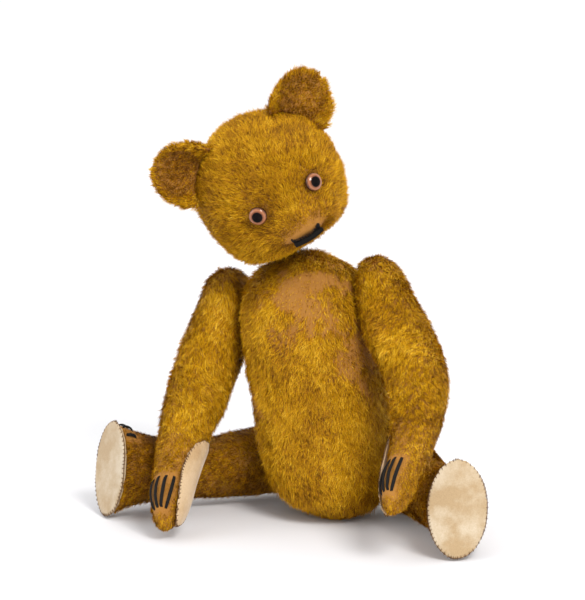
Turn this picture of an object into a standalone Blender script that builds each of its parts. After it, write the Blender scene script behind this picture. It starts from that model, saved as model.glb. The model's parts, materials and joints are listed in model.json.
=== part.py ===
"""A jointed mohair teddy bear, sitting with its legs apart and its head leaning to its right.

The bear faces -Y and its own left is +X. The origin is the middle of the flat patch that it
sits on. Lengths below are millimetres; every mesh is scaled to metres when it is made.

Five disc joints hold it together. Each joint is a hardboard disc and a washer inside the limb,
a disc and a washer inside the torso, and a cotter pin through all four, whose eye is on the
limb's side and whose legs are curled over on the torso's side. The worn neck also lets the
head lean on its pin, so the neck pin is a body of its own between the torso and the head.
"""

import math

import bmesh
import bpy
from mathutils import Matrix, Vector

MM = 0.001

# Cloth and clearances
FABRIC = 1.4
CLEAR = 0.3
STUFFING_INSET = FABRIC + 0.6
TORSO_SLACK = 1.0
ARM_SLACK = 1.2
LEG_SLACK = 0.9
HEAD_SLACK = 1.0

# Torso: an upright egg whose axis leans to the bear's right
TORSO_LEAN = math.radians(9)
TORSO_AXIS_X = 1.35
TORSO_HEIGHT = 176
TORSO_SPINE = ((0, 0, 0), (0, 0, 20), (-7, 0, 57), (-13.7, 0, 96), (-20, 0, 135), (-26.2, 0, 173.8))
TORSO_HALVES = ((34, 33), (40, 40), (43.5, 45), (45.5, 45), (44.5, 43.5), (43.5, 41), (41, 38))
TORSO_CAPS = (0.26, 0.17)
SEAT_RADIUS = 15
NECK_RADIUS = 10

# Joints: each half of the stack starts at the joint's own plane
JOINT_SLOPE = 0.25
LIMB_REACH = 40
TORSO_REACH = 200
DISC_THICK = 2.4
WASHER_THICK = 0.8
WASHER_RADIUS = 6.5
WIRE_RADIUS = 0.8
WIRE_SPREAD = 1.1
PIN_HOLE = 2.7
DISC_START = FABRIC + 4 * CLEAR
BODY_DEPTH = 5
WASHER_START = DISC_START + DISC_THICK + CLEAR
WIRE_START = WASHER_START + WASHER_THICK + CLEAR + WIRE_RADIUS
EYE_RADIUS = 2.2
CURL_RADIUS = 2.4
POCKET_GAP = 0.8
POCKET_RADIUS = 7.2
NECK_POCKET_RADIUS = 8.5
POCKET_DEPTH = 14
SHOULDER_DISC = 11.5
HIP_DISC = 13.5
NECK_DISC = 11
BODY_DISC_STEP = 2.5
PRESS_MARGIN = 4.5

# Arms, in a frame at the shoulder with x outward, -y forward and z up the torso
SHOULDER_HEIGHT = 147
SHOULDER_OUT = 41.5
ARM_SWING = {"left": math.radians(6), "right": math.radians(4)}
ARM_SPREAD = {"left": (0, 0, 1.5, 8, 10, 9, 8), "right": (0, 0, 0, 0, 0, 0, 0)}
ARM_TWIST = {"left": math.radians(38), "right": math.radians(12)}
ARM_SPINE = (
    (9, 3, 23), (12, 0, 0), (22, -7, -26), (31, -20, -52), (36, -40, -77), (36.5, -65, -103), (34, -99, -134)
)
ARM_HALVES = ((16, 19), (18, 22), (20.5, 23), (20, 21.5), (17.5, 18), (13.5, 15.5), (11.5, 17))
ARM_CAPS = (0.13, 0.12)
ARM_PAD = {"middle": 0.84, "along": 0.135, "around": 0.95}
ARM_CLAWS = {"from": 0.865, "to": 0.96, "angles": (35, 62, 89, 116)}

# Legs, in a frame at the hip with x outward along the pin, -y forward and z up
HIP_HEIGHT = 31
HIP_OUT = 35
HIP_CENTRE = (-2.5, 8)
HIP_CANT = {"left": math.radians(17), "right": math.radians(27)}
LEG_STRETCH = {"left": 0.91, "right": 1.03}
LEG_SPINE = ((12, 26, -2), (13, 0, -3), (22, -30, -4.5), (34, -61, -5), (45, -93, -2), (50, -117, 1.5))
LEG_HALVES = ((20, 24), (20.5, 25.5), (20, 24), (18, 22.5), (17.5, 24.5), (19.5, 32))
LEG_CAPS = (0.17, 0)
PAD_THICK = 1.5
INSOLE_THICK = 1.2
FOOT_CLAWS = {"from": 0.9, "to": 0.972, "angles": (56, 78, 100, 122)}
CLAW_RADIUS = 0.7
CLAW_GAP = 0.6
CLAW_STEPS = 4

# Head, in a frame at the point that it leans about, with z up through the crown
HEAD_YAW = math.radians(33)
HEAD_LEAN = math.radians(22)
HEAD_PITCH = math.radians(12)
LEAN_HEIGHT = 13
HEAD_BOTTOM = -9.9
HEAD_SLOPE = 0.28
HEAD_FLAT = 6
SKULL_CENTRE = (0, -4, 37)
SKULL_HALVES = (49, 47, 51)
MUZZLE_DROP = math.radians(27)
MUZZLE_REACH = 36
MUZZLE_HALVES = (26, 26, 21)
BLEND_POWER = 12
NECK_DISC_START = -5.6
NECK_WASHER_START = NECK_DISC_START + DISC_THICK + CLEAR
NECK_EYE_HEIGHT = 5.4
NECK_SHELL_HOLE = 5.0
NECK_DISC_HOLE = 3.8
NECK_WASHER_HOLE = 3.3
EYE_TURN = math.radians(25)
EYE_RISE = math.radians(7.6)
EYE_GLASS_RADIUS = 6
EYE_GLASS_THICK = 4.2
EYE_BASE = 1.1
EYE_RIM = 1.6
PUPIL_RADIUS = 3.2
PUPIL_THICK = 0.8
SHANK_RADIUS = 0.45
SHANK_SPREAD = 1.3
SHANK_DEPTH = 5
SHANK_LOOP = 3.5
NOSE_TURN = 0.175
NOSE_FLARE = 0.42
NOSE_LIFT = 0.07
NOSE_RISE = 0.105
NOSE_THICK = 2.2
MOUTH_DROP = 0.19
MOUTH_CURL = 0.01
MOUTH_STEP = 0.03
MOUTH_RADIUS = 0.6
EAR_TURN = math.radians(47)
EAR_BACK = math.radians(4)
EAR_HALF_WIDTH = 21
EAR_HEIGHT = 31
EAR_THICK = 8
EAR_CUP = 5
EAR_ROOT = 15

COLOURS = {
    "mohair": ((0.62, 0.38, 0.07, 1), 0.9, 0),
    "stuffing": ((0.75, 0.66, 0.45, 1), 0.95, 0),
    "felt": ((0.86, 0.78, 0.66, 1), 0.9, 0),
    "thread": ((0.02, 0.018, 0.015, 1), 0.6, 0),
    "glass": ((0.55, 0.2, 0.04, 1), 0.08, 0),
    "pupil": ((0.01, 0.01, 0.01, 1), 0.15, 0),
    "card": ((0.45, 0.34, 0.22, 1), 0.85, 0),
    "hardboard": ((0.28, 0.17, 0.09, 1), 0.7, 0),
    "steel": ((0.5, 0.49, 0.47, 1), 0.35, 1),
}


def clear_scene():
    for old in list(bpy.data.objects):
        bpy.data.objects.remove(old)


def make_material(name, kind):
    colour, roughness, metallic = COLOURS[kind]
    material = bpy.data.materials.new(name)
    material.use_nodes = True
    shader = material.node_tree.nodes["Principled BSDF"]
    shader.inputs["Base Color"].default_value = colour
    shader.inputs["Roughness"].default_value = roughness
    shader.inputs["Metallic"].default_value = metallic
    material.diffuse_color = colour
    return material


def make_frame(name, matrix):
    """An empty on a joint's axis. Its matrix holds millimetres."""
    empty = bpy.data.objects.new(name, None)
    bpy.context.scene.collection.objects.link(empty)
    scaled = matrix.copy()
    scaled.translation = matrix.translation * MM
    empty.matrix_world = scaled
    return empty


def add_object(name, data, parent, kind):
    obj = bpy.data.objects.new(name, data)
    bpy.context.scene.collection.objects.link(obj)
    obj.parent = parent
    if kind:
        data.materials.append(make_material(name + "_finish", kind))
    else:
        obj.hide_render = True
        obj.display_type = "WIRE"
    return obj


def add_mesh(name, shapes, parent, kind, flipped=()):
    """One object from (points, faces) shapes. Shapes in flipped are cavities and face inwards."""
    mesh = bpy.data.meshes.new(name)
    built = bmesh.new()
    for number, (points, faces) in enumerate(shapes):
        verts = [built.verts.new(Vector(point) * MM) for point in points]
        made = [built.faces.new([verts[i] for i in face]) for face in faces]
        bmesh.ops.recalc_face_normals(built, faces=made)
        if number in flipped:
            bmesh.ops.reverse_faces(built, faces=made)
    built.to_mesh(mesh)
    built.free()
    mesh.shade_smooth()
    mesh.set_sharp_from_angle(angle=math.radians(40))
    return add_object(name, mesh, parent, kind)


def cut(obj, cutter):
    modifier = obj.modifiers.new("cut", "BOOLEAN")
    modifier.operation = "DIFFERENCE"
    modifier.solver = "EXACT"
    modifier.object = cutter


def spline(points, t):
    """A point at t, from 0 to 1, on the smooth curve through evenly spaced points."""
    last = len(points) - 1
    place = min(max(t, 0), 1) * last
    i = min(int(place), last - 1)
    f = place - i
    here, after = Vector(points[i]), Vector(points[i + 1])
    before = Vector(points[i - 1]) if i else here * 2 - after
    beyond = Vector(points[i + 2]) if i + 2 <= last else after * 2 - here
    curve = before * 2 - here * 5 + after * 4 - beyond
    twist = here * 3 - before - after * 3 + beyond
    return here + ((after - before) * f + curve * f * f + twist * f**3) / 2


def press(point, pivot, axis, disc_radius, slope, reach, gap):
    """Moves a point to at most the joint's plane, which rises as a shallow cone past the disc."""
    away = point - pivot
    out = away.dot(axis)
    across = (away - axis * out).length
    most = gap + slope * min(max(0, across - disc_radius), reach)
    return point + axis * (most - out) if out > most else point


class Loft:
    """A stuffed shape: ellipses along a spine, with rounded ends, pressed flat at its joints."""

    def __init__(self, spine, halves, caps, side=1, turn=0.0, presses=()):
        self.spine, self.halves, self.caps = spine, halves, caps
        self.side, self.presses = side, presses
        self.trim = 1.0
        self.turn = Matrix.Rotation(turn, 3, "X")
        steps = [spline(spine, i / 40) for i in range(41)]
        self.length = sum((b - a).length for a, b in zip(steps, steps[1:]))

    def centre(self, t):
        return spline(self.spine, t)

    def axes(self, t):
        if t > 0:
            along = (self.centre(t + 0.01) - self.centre(t - 0.01)).normalized()
        else:
            along = (Vector(self.spine[1]) - Vector(self.spine[0])).normalized()
        tall = along.cross(Vector((1, 0, 0))).normalized()
        return along, tall.cross(along), tall

    def point(self, t, angle, inset=0.0):
        first, last = self.caps
        start = inset / self.length if first else 0
        end = inset / self.length if last else 0
        t = start + (1 - start - end) * t
        along, wide, tall = self.axes(t)
        half_wide, half_tall = spline([(*half, 0) for half in self.halves], t)[:2]
        fade = 1.0
        if first and t < first:
            fade *= math.sqrt(max(0, 1 - (1 - (t - start) / (first - start)) ** 2))
        if last and 1 - t < last:
            fade *= math.sqrt(max(0, 1 - (1 - (1 - end - t) / (last - end)) ** 2))
        across = wide * (half_wide - inset) * math.cos(angle)
        across += tall * (half_tall - inset) * math.sin(angle)
        place = self.turn @ (self.centre(t) + across * fade)
        for pivot, axis, radius, slope, reach, gap in self.presses:
            place = press(place, pivot, axis, radius, slope, reach, gap - inset)
        return Vector((place.x * self.side, place.y, place.z))

    def stations(self, count):
        """Values of t, closer together where an end is rounded."""
        first, last = self.caps
        ends = 4
        found = [first * (1 - math.cos(math.pi / 2 * k / ends)) for k in range(1, ends)] if first else []
        start = first if first else 0.0
        stop = 1 - last
        found += [start + (stop - start) * k / count for k in range(count + 1)]
        if last:
            found += [stop + last * math.sin(math.pi / 2 * k / ends) for k in range(1, ends)]
        return [t * self.trim for t in found]

    def surface(self, count, sides, inset=0.0, flat_start=0.0, flat_end=0.0):
        """Points and faces. A flat start or end is a level face of that radius."""
        points, faces = [], []
        stations = self.stations(count)
        rings = [[self.point(t, 2 * math.pi * k / sides, inset) for k in range(sides)] for t in stations]
        if self.caps[0]:
            rings.insert(0, self.end_ring(0, sides, inset, flat_start))
        if self.caps[1]:
            rings.append(self.end_ring(1, sides, inset, flat_end))
        for ring in rings:
            points += ring
        for i in range(len(rings) - 1):
            for k in range(sides):
                j, m = i * sides + k, i * sides + (k + 1) % sides
                faces.append((j, m, m + sides, j + sides))
        faces.append(tuple(range(sides)))
        faces.append(tuple((len(rings) - 1) * sides + k for k in range(sides)))
        return points, faces

    def end_ring(self, t, sides, inset, radius):
        """The small ring that closes a rounded end."""
        small = max(radius - inset, 2.0)
        middle = self.point(t, 0, inset)
        _, wide, tall = self.axes(t)
        wide, tall = self.turn @ wide, self.turn @ tall
        ring = []
        for k in range(sides):
            angle = 2 * math.pi * k / sides
            across = (wide * math.cos(angle) + tall * math.sin(angle)) * small
            ring.append(middle + Vector((across.x * self.side, across.y, across.z)))
        return ring


def turned(profile, sides, pivot, axis):
    """A solid turned about an axis, from (distance along the axis, radius) points."""
    turn = Vector((0, 0, 1)).rotation_difference(axis).to_matrix()
    points, faces = [], []
    for along, radius in profile:
        for k in range(sides):
            angle = 2 * math.pi * k / sides
            points.append(pivot + turn @ Vector((radius * math.cos(angle), radius * math.sin(angle), along)))
    last = len(profile) - 1
    for i in range(last):
        for k in range(sides):
            j, m = i * sides + k, i * sides + (k + 1) % sides
            faces.append((j, m, m + sides, j + sides))
    faces.append(tuple(range(sides)))
    faces.append(tuple(last * sides + k for k in range(sides)))
    return points, faces


def ring_solid(low, high, hole, radius, sides, pivot, axis):
    """A flat washer between two distances along an axis."""
    turn = Vector((0, 0, 1)).rotation_difference(axis).to_matrix()
    corners = ((low, hole), (low, radius), (high, radius), (high, hole))
    points, faces = [], []
    for along, size in corners:
        for k in range(sides):
            angle = 2 * math.pi * k / sides
            points.append(pivot + turn @ Vector((size * math.cos(angle), size * math.sin(angle), along)))
    for i in range(4):
        for k in range(sides):
            j, m = i * sides + k, i * sides + (k + 1) % sides
            a, b = ((i + 1) % 4) * sides + k, ((i + 1) % 4) * sides + (k + 1) % sides
            faces.append((j, m, b, a))
    return points, faces


def blanket(place, bottom, top, rings, sides):
    """A thin solid that follows a surface: place(u, v, offset) over the unit circle."""
    points, faces = [], []
    for offset in (bottom, top):
        first = len(points)
        points.append(place(0, 0, offset(0)))
        for r in range(1, rings + 1):
            for k in range(sides):
                angle = 2 * math.pi * k / sides
                u, v = r / rings * math.cos(angle), r / rings * math.sin(angle)
                points.append(place(u, v, offset(r / rings)))
        for k in range(sides):
            faces.append((first, first + 1 + k, first + 1 + (k + 1) % sides))
        for r in range(rings - 1):
            for k in range(sides):
                j, m = first + 1 + r * sides + k, first + 1 + r * sides + (k + 1) % sides
                faces.append((j, j + sides, m + sides, m))
    layer = 1 + rings * sides
    edge = 1 + (rings - 1) * sides
    for k in range(sides):
        j, m = edge + k, edge + (k + 1) % sides
        faces.append((j, m, m + layer, j + layer))
    return points, faces


def add_wire(name, route, radius, parent, kind, resolution=1):
    """A round wire through the route's points, with filled ends."""
    curve = bpy.data.curves.new(name, "CURVE")
    curve.dimensions = "3D"
    curve.bevel_depth = radius * MM
    curve.bevel_resolution = resolution
    curve.use_fill_caps = True
    line = curve.splines.new("POLY")
    line.points.add(len(route) - 1)
    for knot, point in zip(line.points, route):
        knot.co = (*(Vector(point) * MM), 1)
    return add_object(name, curve, parent, kind)


def pin_route(pivot, axis, across, curl_start, eye_start):
    """A cotter pin: curled leg, shank, eye, shank and the other curled leg."""
    leg = []
    for k in range(5):
        angle = math.pi * 0.95 * k / 4
        wide = WIRE_SPREAD + CURL_RADIUS * (1 - math.cos(angle))
        leg.append((wide, curl_start - CURL_RADIUS * math.sin(angle)))
    loop = []
    for k in range(8):
        angle = math.radians(-60 + 300 * k / 7)
        loop.append((EYE_RADIUS * math.cos(angle), eye_start + EYE_RADIUS + EYE_RADIUS * math.sin(angle)))
    route = leg[::-1] + loop + [(-wide, along) for wide, along in leg]
    return [pivot + across * wide + axis * along for wide, along in route]


def make_stack(name, half, disc_radius, start, pivot, axis, parent):
    """The disc and washer on one side of a joint, starting so far from its plane."""
    disc = ring_solid(start, start + DISC_THICK, PIN_HOLE, disc_radius, 16, pivot, axis)
    add_mesh(f"{name}_{half}_disc", [disc], parent, "hardboard")
    start += DISC_THICK + CLEAR
    washer = ring_solid(start, start + WASHER_THICK, PIN_HOLE, WASHER_RADIUS, 12, pivot, axis)
    add_mesh(f"{name}_{half}_washer", [washer], parent, "steel")


def make_limb_joint(name, matrix, sign, disc_radius, limb, torso):
    """One limb's disc joint: two discs, two washers and the cotter pin."""
    out, up, middle = Vector((sign, 0, 0)), Vector((0, 0, 1)), Vector((0, 0, 0))
    make_stack(name, "limb", disc_radius, DISC_START, middle, out, limb)
    inward = matrix.to_3x3() @ -out
    body_disc = disc_radius - BODY_DISC_STEP
    make_stack(name, "body", body_disc, DISC_START + BODY_DEPTH, matrix.translation, inward, torso)
    route = pin_route(middle, out, up, -WIRE_START - BODY_DEPTH, WIRE_START)
    add_wire(f"{name}_cotter_pin", route, WIRE_RADIUS, limb, "steel")


def pocket(name, pivot, axis, disc_radius, parent, deeper=0):
    """The room in the stuffing for a joint's disc, washer and pin end."""
    wide = disc_radius + POCKET_GAP
    deep = WASHER_START + WASHER_THICK + 0.6 + deeper
    depth = POCKET_DEPTH + deeper
    profile = ((-5, wide), (deep, wide), (deep + 0.01, POCKET_RADIUS), (depth, POCKET_RADIUS))
    return add_mesh(name, [turned(profile, 16, pivot, axis)], parent, None)


def hole(name, low, high, radius, pivot, axis, parent):
    return add_mesh(name, [turned(((low, radius), (high, radius)), 12, pivot, axis)], parent, None)


def torso_frame():
    return Matrix.Translation((TORSO_AXIS_X, 0, 0)) @ Matrix.Rotation(-TORSO_LEAN, 4, "Y")


def hip_frame(side, name):
    sign = 1 if side == "left" else -1
    turn = Matrix.Rotation(sign * HIP_CANT[name], 4, "Z")
    out = turn.to_3x3() @ Vector((sign, 0, 0))
    return Matrix.Translation(Vector((*HIP_CENTRE, HIP_HEIGHT)) + out * HIP_OUT) @ turn


def shoulder_frame(side):
    sign = 1 if side == "left" else -1
    return torso_frame() @ Matrix.Translation((sign * SHOULDER_OUT, 0, SHOULDER_HEIGHT))


def neck_frame():
    return torso_frame() @ Matrix.Translation((0, 0, TORSO_HEIGHT)) @ Matrix.Rotation(HEAD_YAW, 4, "Z")


def head_frame():
    return neck_frame() @ Matrix.Translation((0, 0, LEAN_HEIGHT)) @ Matrix.Rotation(-HEAD_LEAN, 4, "Y")


def joint_presses():
    """Where the torso is pressed flat by the four limb joints: pivot, axis, disc, slope, reach, gap."""
    found = []
    for side, sign in (("left", 1), ("right", -1)):
        for matrix, radius in ((shoulder_frame(side), SHOULDER_DISC), (hip_frame(side, side), HIP_DISC)):
            axis = matrix.to_3x3() @ Vector((sign, 0, 0))
            wide = radius + PRESS_MARGIN
            found.append((matrix.translation, axis, wide, JOINT_SLOPE, TORSO_REACH, -3 * CLEAR))
    return found


def limb_press(disc_radius):
    """Where a limb is pressed flat by its own joint."""
    inward = Vector((-1, 0, 0))
    return Vector((0, 0, 0)), inward, disc_radius + PRESS_MARGIN, -JOINT_SLOPE, LIMB_REACH, -CLEAR


def make_torso(parent):
    loft = Loft(TORSO_SPINE, TORSO_HALVES, TORSO_CAPS, presses=joint_presses())
    outer = loft.surface(9, 20, 0, SEAT_RADIUS, NECK_RADIUS)
    inner = loft.surface(9, 20, FABRIC, SEAT_RADIUS, NECK_RADIUS)
    shell = add_mesh("torso_shell", [outer, inner], parent, "mohair", flipped=(1,))
    filling = loft.surface(7, 14, STUFFING_INSET + TORSO_SLACK, SEAT_RADIUS, NECK_RADIUS)
    stuffing = add_mesh("torso_stuffing", [filling], parent, "stuffing")
    stacks = [(neck_frame().translation, torso_frame().to_3x3() @ Vector((0, 0, 1)), "neck", NECK_DISC)]
    names = ("shoulder_l", "hip_l", "shoulder_r", "hip_r")
    for (pivot, axis, radius, *_), name in zip(joint_presses(), names):
        stacks.append((pivot, axis, name, radius - PRESS_MARGIN))
    for pivot, axis, name, radius in stacks:
        cut(shell, hole(name + "_hole", -8, 4, PIN_HOLE, pivot, axis, parent))
        cut(stuffing, pocket(name + "_pocket", pivot, -axis, radius, parent, BODY_DEPTH))


def make_arm(side, parent):
    sign = 1 if side == "left" else -1
    plane = [limb_press(SHOULDER_DISC)]
    spine = [(x + spread, y, z) for (x, y, z), spread in zip(ARM_SPINE, ARM_SPREAD[side])]
    loft = Loft(spine, ARM_HALVES, ARM_CAPS, sign, -ARM_SWING[side], plane)
    walls = [loft.surface(9, 14), loft.surface(9, 14, FABRIC)]
    shell = add_mesh(f"{side}_arm_shell", walls, parent, "mohair", flipped=(1,))
    stuffing = add_mesh(
        f"{side}_arm_stuffing", [loft.surface(9, 12, STUFFING_INSET + ARM_SLACK)], parent, "stuffing"
    )
    origin, out = Vector((0, 0, 0)), Vector((sign, 0, 0))
    cut(shell, hole(f"{side}_arm_hole", -4, 8, PIN_HOLE, origin, out, parent))
    cut(stuffing, pocket(f"{side}_arm_pocket", origin, out, SHOULDER_DISC, parent))

    def on_palm(u, v, offset):
        t = ARM_PAD["middle"] + ARM_PAD["along"] * u
        return loft.point(t, math.pi + ARM_TWIST[side] + ARM_PAD["around"] * v, -offset)

    pad = blanket(on_palm, lambda r: 3 * CLEAR, lambda r: 3 * CLEAR + 1.2, 4, 16)
    add_mesh(f"{side}_paw_pad", [pad], parent, "felt")
    route = claw_route(loft, ARM_CLAWS, ARM_TWIST[side])
    add_wire(f"{side}_paw_claw_thread", route, CLAW_RADIUS, parent, "thread")


def claw_route(loft, claws, twist):
    """One thread that runs up one claw and down the next, lying just off the cloth."""
    route = []
    for number, angle in enumerate(claws["angles"]):
        span = claws["to"] - claws["from"]
        steps = [claws["from"] + span * k / CLAW_STEPS for k in range(CLAW_STEPS + 1)]
        if number % 2:
            steps.reverse()
        route += [loft.point(t, math.radians(angle) + twist, -CLAW_RADIUS - CLAW_GAP) for t in steps]
    return route


def make_leg(side, parent):
    sign = 1 if side == "left" else -1
    plane = [limb_press(HIP_DISC)]
    stretch = LEG_STRETCH[side]
    spine = [(x, y if y > 0 else y * stretch, z) for x, y, z in LEG_SPINE]
    loft = Loft(spine, LEG_HALVES, LEG_CAPS, sign, 0.0, plane)
    shell = add_mesh(f"{side}_leg_shell", [leg_shell(loft)], parent, "mohair")
    stuffing = add_mesh(f"{side}_leg_stuffing", [leg_filling(loft)], parent, "stuffing")
    origin, out = Vector((0, 0, 0)), Vector((sign, 0, 0))
    cut(shell, hole(f"{side}_leg_hole", -4, 8, PIN_HOLE, origin, out, parent))
    cut(stuffing, pocket(f"{side}_leg_pocket", origin, out, HIP_DISC, parent))
    sole = sole_place(loft)
    rim, inside = 0.0, FABRIC + 3 * CLEAR
    pad = blanket(lambda u, v, d: sole(u, v, d, rim), lambda r: CLEAR, lambda r: CLEAR + PAD_THICK, 3, 20)
    add_mesh(f"{side}_foot_pad", [pad], parent, "felt")
    card = blanket(
        lambda u, v, d: sole(u, v, d, inside), lambda r: -CLEAR - INSOLE_THICK, lambda r: -CLEAR, 2, 16
    )
    add_mesh(f"{side}_foot_card", [card], parent, "card")
    route = claw_route(loft, FOOT_CLAWS, 0.0)
    add_wire(f"{side}_foot_claw_thread", route, CLAW_RADIUS, parent, "thread")


def leg_shell(loft):
    """The outer and inner walls, joined around the open sole."""
    count, sides = 8, 16
    outer, faces = loft.surface(count, sides)
    inner, inner_faces = loft.surface(count, sides, FABRIC)
    shift = len(outer)
    faces, inner_faces = faces[:-1], inner_faces[:-1]
    joined = faces + [tuple(i + shift for i in face) for face in inner_faces]
    last = shift - sides
    for k in range(sides):
        m = (k + 1) % sides
        joined.append((last + k, last + m, last + m + shift, last + k + shift))
    return outer + inner, joined


def leg_filling(loft):
    """The stuffing, which stops short of the sole card."""
    filling = Loft(loft.spine, loft.halves, loft.caps, loft.side, 0.0, loft.presses)
    filling.trim = 1 - (INSOLE_THICK + 3 * CLEAR) / loft.length
    return filling.surface(6, 12, STUFFING_INSET + LEG_SLACK)


def sole_place(loft):
    """A point on the flat sole: u across, v up, d out of the leg."""
    along, _, _ = loft.axes(1)
    out = Vector((along.x * loft.side, along.y, along.z))

    def place(u, v, depth, inset):
        centre = loft.centre(1)
        middle = Vector((centre.x * loft.side, centre.y, centre.z))
        size = math.hypot(u, v)
        edge = loft.point(1, math.atan2(v, u), inset) - middle
        return middle + edge * size + out * depth

    return place


def skull_matrix():
    return Matrix.Rotation(HEAD_PITCH, 3, "X")


def ellipsoid_reach(centre, halves, direction, turn):
    """How far a ray from the skull's centre goes before it leaves an ellipsoid, or 0."""
    back = turn.transposed()
    start = back @ -Vector(centre)
    ray = back @ direction
    start = Vector([s / h for s, h in zip(start, halves)])
    ray = Vector([s / h for s, h in zip(ray, halves)])
    a, b, c = ray.dot(ray), start.dot(ray), start.dot(start) - 1
    under = b * b - a * c
    return max(0.0, (-b + math.sqrt(under)) / a) if under > 0 else 0.0


def head_reach(direction):
    """The head's radius in a direction of the skull's own frame."""
    skull = ellipsoid_reach((0, 0, 0), SKULL_HALVES, direction, Matrix.Identity(3))
    turn = Matrix.Rotation(MUZZLE_DROP, 3, "X")
    middle = turn @ Vector((0, -MUZZLE_REACH, 0))
    muzzle = ellipsoid_reach(middle, MUZZLE_HALVES, direction, turn)
    return (skull**BLEND_POWER + muzzle**BLEND_POWER) ** (1 / BLEND_POWER)


def head_point(direction, offset=0.0):
    """A point of the head's surface in the lean frame, moved out by offset."""
    direction = direction.normalized()
    matrix = skull_matrix()
    centre = matrix @ Vector(SKULL_CENTRE)
    place = centre + matrix @ direction * (head_reach(direction) + offset)
    least = HEAD_BOTTOM - offset + HEAD_SLOPE * max(0, math.hypot(place.x, place.y) - HEAD_FLAT)
    return Vector((place.x, place.y, max(place.z, least)))


def look(turn, rise):
    """A direction of the skull's frame: turn to the left, rise above straight ahead."""
    return Vector((math.sin(turn) * math.cos(rise), -math.cos(turn) * math.cos(rise), math.sin(rise)))


def head_surface(rings, sides, offset=0.0):
    """The head with its poles along the muzzle, so that the rings are fine around the snout."""
    tilt = Matrix.Rotation(MUZZLE_DROP, 3, "X")
    points, faces = [head_point(tilt @ Vector((0, -1, 0)), offset)], []
    for r in range(1, rings):
        angle = math.pi * (r / rings) ** 1.15
        for k in range(sides):
            around = 2 * math.pi * k / sides
            across = Vector((math.cos(around), 0, math.sin(around))) * math.sin(angle)
            points.append(head_point(tilt @ (Vector((0, -math.cos(angle), 0)) + across), offset))
    points.append(head_point(tilt @ Vector((0, 1, 0)), offset))
    for k in range(sides):
        m = (k + 1) % sides
        faces.append((0, 1 + k, 1 + m))
        for r in range(rings - 2):
            j, n = 1 + r * sides + k, 1 + r * sides + m
            faces.append((j, j + sides, n + sides, n))
        last = 1 + (rings - 2) * sides
        faces.append((len(points) - 1, last + m, last + k))
    return points, faces


def make_head(parent):
    shell = add_mesh(
        "head_shell", [head_surface(18, 22), head_surface(18, 22, -FABRIC)], parent, "mohair", flipped=(1,)
    )
    stuffing = add_mesh(
        "head_stuffing", [head_surface(11, 16, -STUFFING_INSET - HEAD_SLACK)], parent, "stuffing"
    )
    up, base = Vector((0, 0, 1)), Vector((0, 0, 0))
    cut(shell, hole("neck_shell_hole", HEAD_BOTTOM - 4, HEAD_BOTTOM + 6, NECK_SHELL_HOLE, base, up, parent))
    wide = NECK_DISC + POCKET_GAP
    deep = NECK_WASHER_START + WASHER_THICK + 1.0
    narrow = NECK_POCKET_RADIUS
    top = NECK_EYE_HEIGHT + 8
    profile = ((HEAD_BOTTOM - 5, wide), (deep, wide), (deep + 0.01, narrow), (top, narrow))
    cut(stuffing, add_mesh("neck_head_pocket", [turned(profile, 16, base, up)], parent, None))
    disc = ring_solid(
        NECK_DISC_START, NECK_DISC_START + DISC_THICK, NECK_DISC_HOLE, NECK_DISC, 16, base, up
    )
    add_mesh("neck_head_disc", [disc], parent, "hardboard")
    washer = ring_solid(
        NECK_WASHER_START, NECK_WASHER_START + WASHER_THICK, NECK_WASHER_HOLE, WASHER_RADIUS, 12, base, up
    )
    add_mesh("neck_head_washer", [washer], parent, "steel")
    for side, sign in (("left", 1), ("right", -1)):
        make_eye(side, sign, parent, shell, stuffing)
        make_ear(side, sign, parent)
    make_nose(parent)
    make_mouth(parent)


def make_eye(side, sign, parent, shell, stuffing):
    """A blown glass eye with its pupil, on a wire loop that goes through the cloth."""
    direction = look(sign * EYE_TURN, EYE_RISE)
    seat = head_point(direction)
    axis = (skull_matrix() @ direction).normalized()
    profile = [(EYE_BASE, EYE_GLASS_RADIUS - 0.6), (EYE_BASE + EYE_RIM / 2, EYE_GLASS_RADIUS)]
    for k in range(1, 5):
        angle = math.pi / 2 * k / 4.4
        rise = (EYE_GLASS_THICK - EYE_RIM) * math.sin(angle)
        profile.append((EYE_BASE + EYE_RIM + rise, EYE_GLASS_RADIUS * math.cos(angle)))
    glass = add_mesh(f"{side}_eye_glass", [turned(profile, 14, seat, axis)], parent, "glass")
    wide = PUPIL_RADIUS + CLEAR
    recess = turned(((EYE_BASE - 2, wide), (EYE_BASE + PUPIL_THICK + 0.5, wide)), 14, seat, axis)
    cut(glass, add_mesh(f"{side}_eye_recess", [recess], parent, None))
    low = EYE_BASE + 0.2
    pupil = turned(((low, PUPIL_RADIUS), (low + PUPIL_THICK, PUPIL_RADIUS)), 14, seat, axis)
    add_mesh(f"{side}_eye_pupil", [pupil], parent, "pupil")
    across = axis.cross(Vector((0, 0, 1))).normalized() * SHANK_SPREAD
    legs = [seat + axis * 0.6 + across, seat + axis * 0.6 - across]
    loop = []
    for k in range(9):
        angle = math.pi * k / 8
        depth = SHANK_DEPTH + SHANK_LOOP * math.sin(angle)
        loop.append(seat - axis * depth + across * math.cos(angle))
    add_wire(f"{side}_eye_shank", [legs[0], *loop, legs[1]], SHANK_RADIUS, parent, "steel")
    cut(shell, hole(f"{side}_eye_hole", -6, 4, SHANK_SPREAD + 1, seat, axis, parent))
    cut(stuffing, hole(f"{side}_eye_pocket", -12, 4, SHANK_SPREAD + 1.6, seat, axis, parent))


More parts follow.
